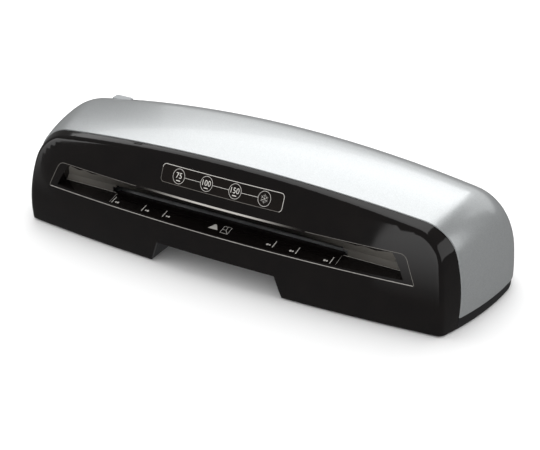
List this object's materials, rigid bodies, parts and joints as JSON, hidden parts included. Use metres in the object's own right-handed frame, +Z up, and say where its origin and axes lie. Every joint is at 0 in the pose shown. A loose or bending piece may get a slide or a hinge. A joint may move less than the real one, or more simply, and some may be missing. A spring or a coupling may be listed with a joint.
{
  "type": "pouch laminator",
  "caption": "Desktop hot pouch laminator with an arched silver cover, bowed gloss black fascia, touch window, heated roller train and a roller release lever.",
  "frame": {"origin": "middle of the box round the machine, on the surface that its feet stand on", "axes": "+X to the right seen from the front, along the rollers; +Y from the entry slot to the exit slot; +Z up"},
  "size_m": [0.4376, 0.1422, 0.105],
  "materials": {
    "satin_silver": "satin silver lacquer on ABS",
    "gloss_black": "high gloss moulded ABS",
    "smoked_window": "smoked acrylic with printed keys",
    "matt_black": "fine textured ABS",
    "lever_grey": "moulded ABS",
    "soft_rubber": "moulded rubber",
    "zinc_steel": "zinc plated sheet",
    "bright_steel": "ground steel",
    "extruded_aluminium": "extruded",
    "amber_film": "polyimide film heater",
    "brown_phenolic": "phenolic",
    "white_acetal": "acetal",
    "guide_black": "glass filled nylon",
    "green_board": "solder mask",
    "clear_led": "diffused epoxy",
    "transformer_yellow": "tape over a laminated core",
    "relay_blue": "moulded",
    "terminal_green": "moulded nylon",
    "motor_steel": "zinc plated can",
    "red_silicone": "silicone rubber",
    "grey_silicone": "silicone rubber"
  },
  "bodies": {
    "casing": {"top_cover": "satin_silver", "front_fascia": "gloss_black", "entry_tray": "gloss_black", "control_window": "smoked_window", "base_tray": "matt_black", "rear_cover": "matt_black", "switch_body": "matt_black", "cord_gland": "matt_black", "rubber_feet": "soft_rubber", "frame_plate_left": "zinc_steel", "frame_plate_right": "zinc_steel", "motor_plate": "zinc_steel", "heat_shield": "zinc_steel", "motor_standoffs": "zinc_steel", "tie_rods": "bright_steel", "idler_stud": "bright_steel", "cover_screws": "bright_steel", "frame_screws": "bright_steel", "board_screws": "bright_steel", "pressure_springs": "bright_steel", "lower_heater_shoe": "extruded_aluminium", "upper_heater_shoe": "extruded_aluminium", "lower_heating_element": "amber_film", "upper_heating_element": "amber_film", "thermostat": "brown_phenolic", "thermal_fuse": "brown_phenolic", "shaft_bushes": "white_acetal", "lever_bracket": "white_acetal", "pouch_guides": "guide_black", "control_board": "green_board", "power_board": "green_board", "indicator_lights": "clear_led", "transformer": "transformer_yellow", "relay": "relay_blue", "terminal_block": "terminal_green", "drive_motor": "motor_steel"},
    "lower_hot_roller": {"lower_hot_shaft": "bright_steel", "lower_hot_sleeve": "red_silicone", "lower_hot_gear": "white_acetal", "lower_hot_clip": "bright_steel"},
    "upper_hot_roller": {"upper_hot_shaft": "bright_steel", "upper_hot_sleeve": "red_silicone", "upper_hot_gear": "white_acetal", "upper_hot_clip": "bright_steel"},
    "lower_exit_roller": {"lower_exit_shaft": "bright_steel", "lower_exit_sleeve": "grey_silicone", "lower_exit_gear": "white_acetal", "lower_exit_clip": "bright_steel"},
    "upper_exit_roller": {"upper_exit_shaft": "bright_steel", "upper_exit_sleeve": "grey_silicone", "upper_exit_gear": "white_acetal", "upper_exit_clip": "bright_steel"},
    "idler": {"idler_gear": "white_acetal"},
    "pinion": {"motor_pinion": "white_acetal"},
    "carriage": {"carriage_plate_left": "zinc_steel", "carriage_plate_right": "zinc_steel", "carriage_bar": "zinc_steel", "carriage_bushes": "white_acetal"},
    "lever": {"release_lever": "lever_grey"},
    "rocker": {"power_rocker": "matt_black"}
  },
  "joints": [
    {"name": "lower_hot_spin", "type": "hinge", "parent": "casing", "child": "lower_hot_roller", "pos_m": [0, -0.012, 0.036], "axis": [1, 0, 0], "continuous": true},
    {"name": "carriage_lift", "type": "slide", "parent": "casing", "child": "carriage", "axis": [0, 0, 1], "range_m": [0, 0.0015], "deforming": ["pressure_springs"]},
    {"name": "upper_hot_spin", "type": "hinge", "parent": "carriage", "child": "upper_hot_roller", "pos_m": [0, -0.012, 0.059], "axis": [1, 0, 0], "continuous": true},
    {"name": "lower_exit_spin", "type": "hinge", "parent": "casing", "child": "lower_exit_roller", "pos_m": [0, 0.034, 0.036], "axis": [1, 0, 0], "continuous": true},
    {"name": "upper_exit_spin", "type": "hinge", "parent": "carriage", "child": "upper_exit_roller", "pos_m": [0, 0.034, 0.059], "axis": [1, 0, 0], "continuous": true},
    {"name": "idler_spin", "type": "hinge", "parent": "casing", "child": "idler", "pos_m": [0, 0.011, 0.036], "axis": [1, 0, 0], "continuous": true},
    {"name": "pinion_spin", "type": "hinge", "parent": "casing", "child": "pinion", "pos_m": [0, -0.0295, 0.036], "axis": [1, 0, 0], "continuous": true},
    {"name": "lever_slide", "type": "slide", "parent": "casing", "child": "lever", "axis": [1, 0, 0], "range_m": [0, 0.01]},
    {"name": "rocker_tilt", "type": "hinge", "parent": "casing", "child": "rocker", "pos_m": [-0.15, 0.0668, 0.03], "axis": [1, 0, 0], "range_deg": [-14, 0]}
  ],
  "couplings": [
    {"joint": "upper_hot_spin", "follows": "lower_hot_spin", "ratio": -1},
    {"joint": "idler_spin", "follows": "lower_hot_spin", "ratio": -1},
    {"joint": "lower_exit_spin", "follows": "lower_hot_spin", "ratio": 1},
    {"joint": "upper_exit_spin", "follows": "lower_hot_spin", "ratio": -1},
    {"joint": "pinion_spin", "follows": "lower_hot_spin", "ratio": -1.9167},
    {"joint": "lever_slide", "follows": "carriage_lift", "ratio": 6.6667}
  ]
}
